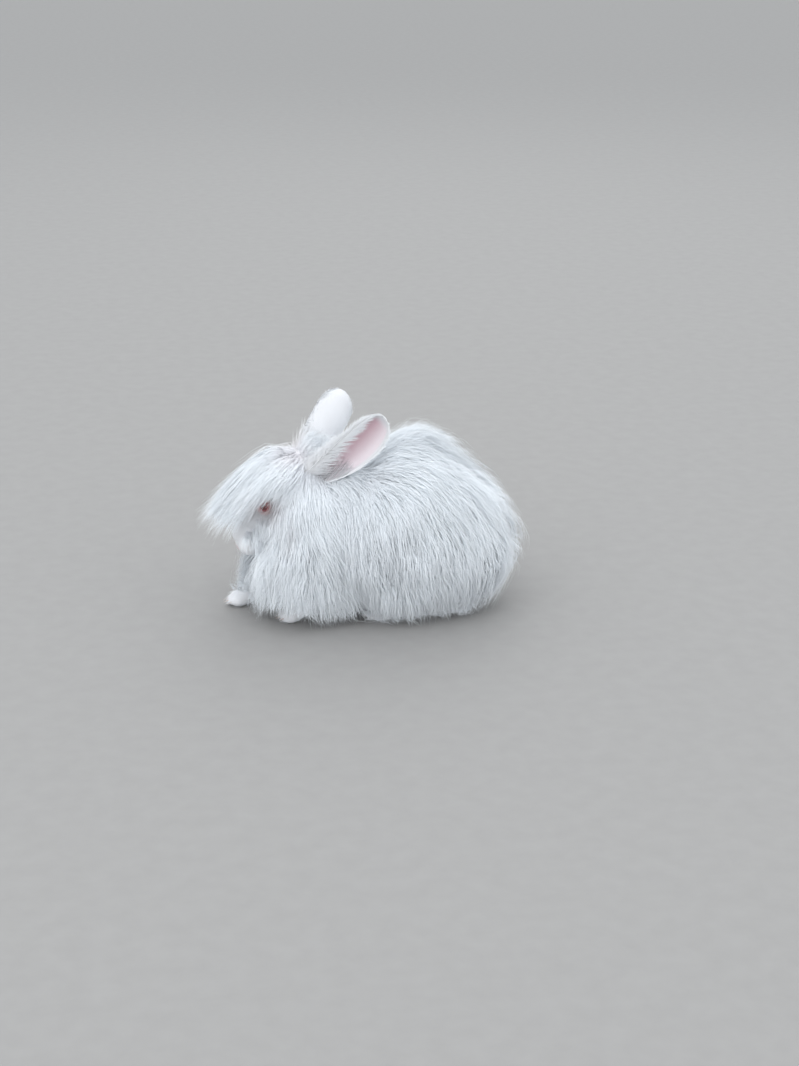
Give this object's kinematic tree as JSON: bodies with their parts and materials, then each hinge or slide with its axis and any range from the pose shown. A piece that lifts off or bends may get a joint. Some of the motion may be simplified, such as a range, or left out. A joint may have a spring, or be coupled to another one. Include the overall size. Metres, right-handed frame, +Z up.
{
  "type": "angora rabbit",
  "caption": "Life-size still model of a long-haired white rabbit, crouching with its head low, ears laid half back and a wool curtain down to the floor.",
  "frame": {"origin": "on the floor, below the middle of the bounding box", "axes": "-X the way the rabbit faces, -Y its left side, +Z up"},
  "size_m": [0.3253, 0.1717, 0.2228],
  "materials": {
    "wool": "long, silky white wool",
    "short_fur": "short, dense white fur",
    "ear_skin": "thin pink skin under short white fur",
    "eye": "wet, glossy pink"
  },
  "bodies": {
    "root": {"head": "wool", "neck": "wool", "torso": "wool", "tail": "wool", "ear_left": "ear_skin", "ear_right": "ear_skin", "eye_left": "eye", "eye_right": "eye", "foreleg_left": "short_fur", "foreleg_right": "short_fur", "hind_leg_left": "short_fur", "hind_leg_right": "short_fur"}
  },
  "joints": []
}
